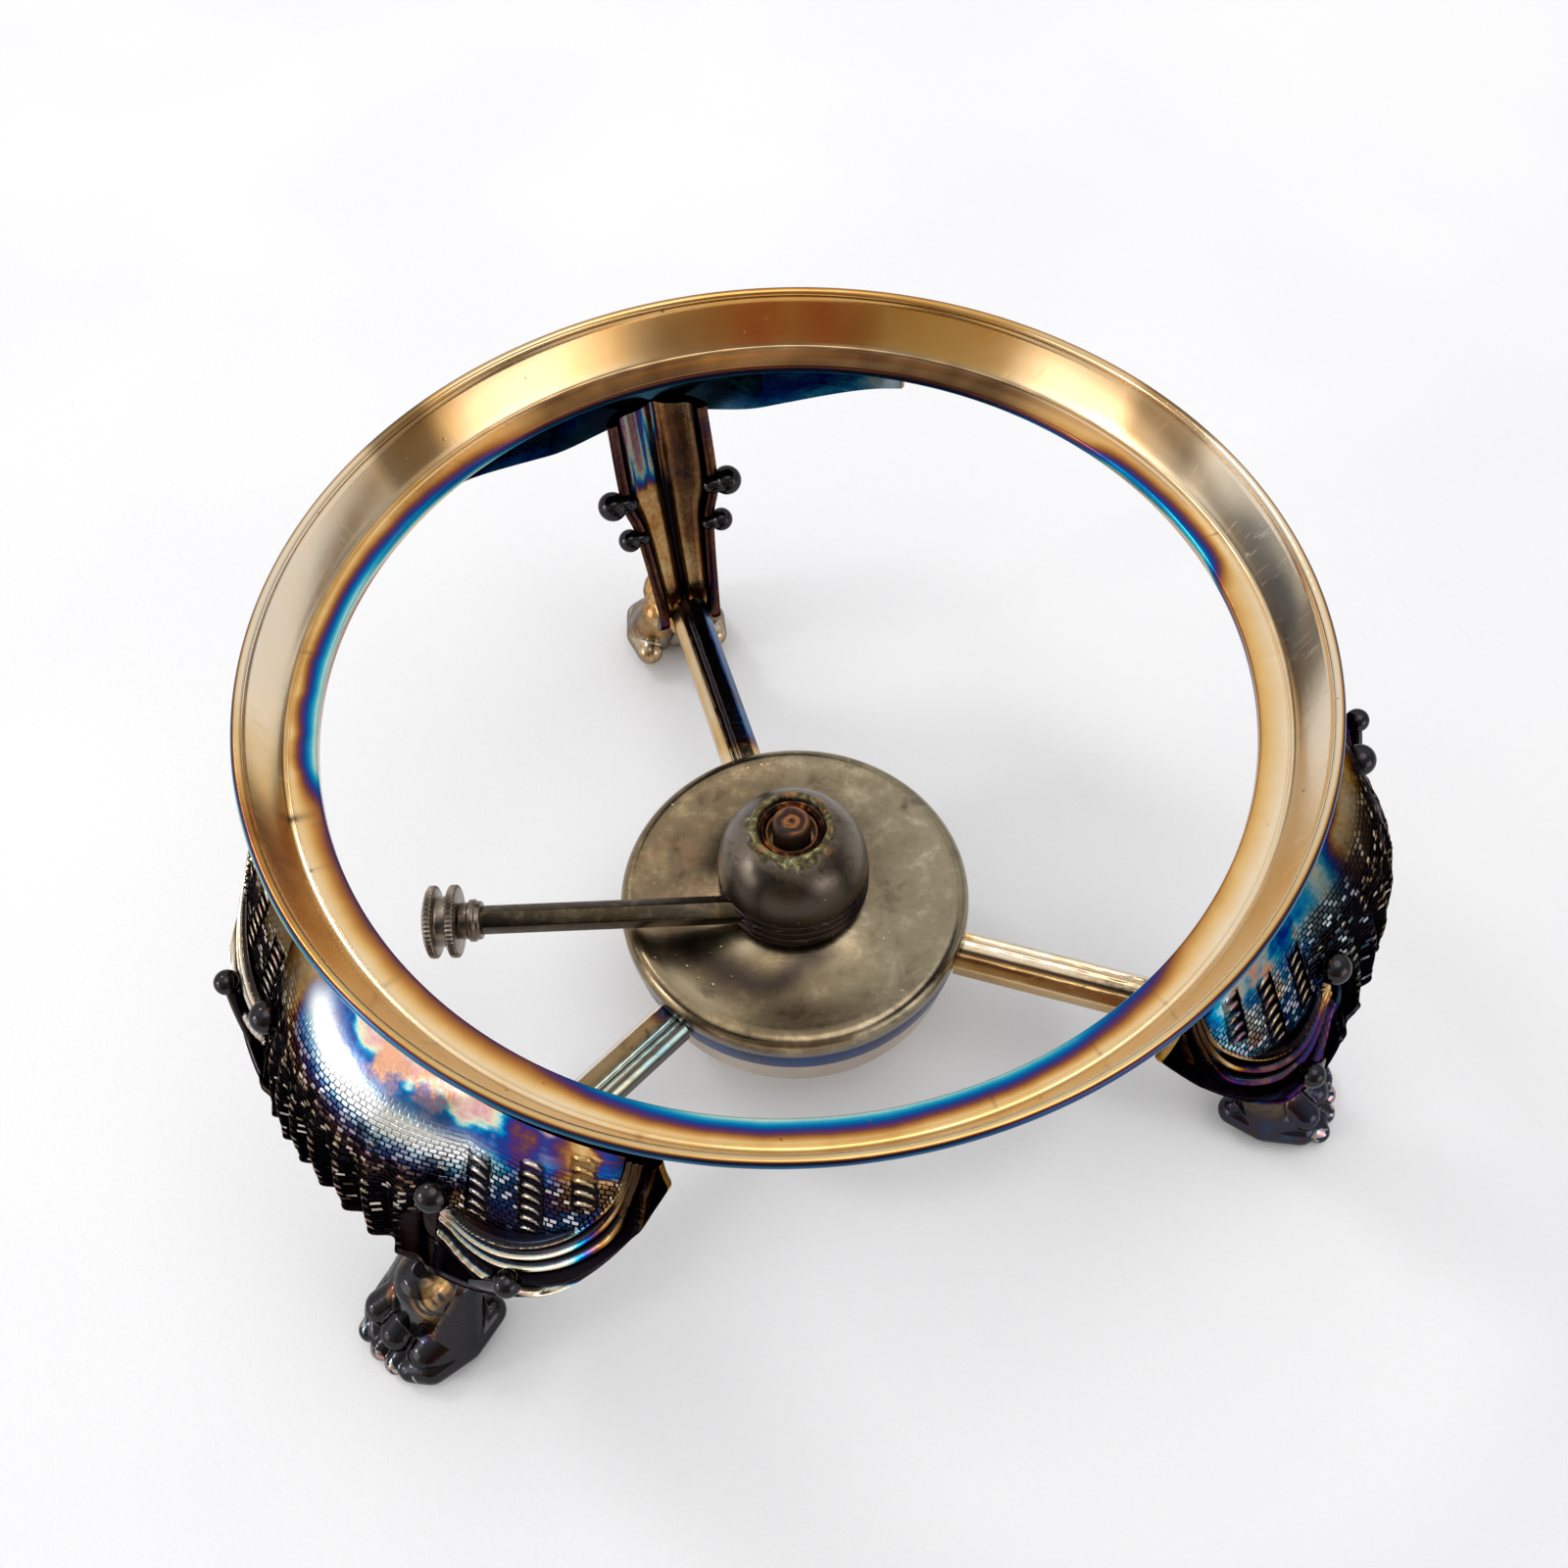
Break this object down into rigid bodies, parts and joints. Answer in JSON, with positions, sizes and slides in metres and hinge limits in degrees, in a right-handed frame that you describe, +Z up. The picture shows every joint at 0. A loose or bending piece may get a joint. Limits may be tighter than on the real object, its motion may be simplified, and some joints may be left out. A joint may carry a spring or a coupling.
{
  "type": "tripod spirit kettle stand with burner",
  "caption": "Tripod kettle stand: a flared ring on fluted paw legs, cross arms with a holder ring, and a lift-out spirit burner with a rack-and-pinion wick winder.",
  "frame": {"origin": "centre of the kettle seat, the short cylindrical wall at the inner edge of the support ring", "axes": "+Z up along the seat's axis; +X to the right and +Y away from the viewer, with the burner's handle pointing to -X"},
  "size_m": [0.2226, 0.2218, 0.125],
  "materials": {
    "tarnished_silver": "worn silver plate with brown and blue tarnish",
    "heat_tinted_cast": "cast, plated, with blue, teal and gold tarnish",
    "arm_brass": "tarnished, semi-gloss",
    "holder_metal": "dark blue tarnish",
    "pan_metal": "dull, pale brown",
    "cover_metal": "satin pewter brown",
    "gasket": "dark, matt",
    "wadding": "loose cotton",
    "dark_metal": "blackened",
    "dome_metal": "brown-violet, satin",
    "burner_brass": "tarnished",
    "knob_metal": "worn, knurled",
    "spindle_steel": "plain",
    "wick_cotton": "charred end"
  },
  "bodies": {
    "stand": {"support_ring": "tarnished_silver", "leg_1": "heat_tinted_cast", "leg_2": "heat_tinted_cast", "leg_3": "heat_tinted_cast", "arm_1": "arm_brass", "arm_2": "arm_brass", "arm_3": "arm_brass", "holder_ring": "holder_metal"},
    "font": {"font_pan": "pan_metal", "font_cover": "cover_metal", "font_neck": "cover_metal", "neck_gasket": "gasket", "wadding": "wadding"},
    "head": {"head_collar": "dark_metal", "dome": "dome_metal", "wick_tube": "burner_brass", "handle_tube": "dark_metal", "handle_ferrule": "knob_metal", "spindle_bush": "burner_brass"},
    "winder": {"spindle": "spindle_steel", "pinion": "burner_brass", "regulator_knob": "knob_metal", "knob_pin": "spindle_steel"},
    "wick_lift": {"wick_carrier": "burner_brass", "wick": "wick_cotton"}
  },
  "joints": [
    {"name": "burner_lift", "type": "slide", "parent": "stand", "child": "font", "axis": [0, 0, 1], "range_m": [0, 0.115]},
    {"name": "head_lift", "type": "slide", "parent": "font", "child": "head", "axis": [0, 0, 1], "range_m": [0, 0.05]},
    {"name": "knob_spin", "type": "hinge", "parent": "head", "child": "winder", "pos_m": [-0.05, -0.00866, -0.0658], "axis": [1, 0, 0], "range_deg": [-91.67, 68.75]},
    {"name": "wick_slide", "type": "slide", "parent": "head", "child": "wick_lift", "axis": [0, 0, 1], "range_m": [-0.004, 0.003]}
  ],
  "couplings": [
    {"joint": "wick_slide", "follows": "knob_spin", "m_per_rad": 0.0025}
  ]
}
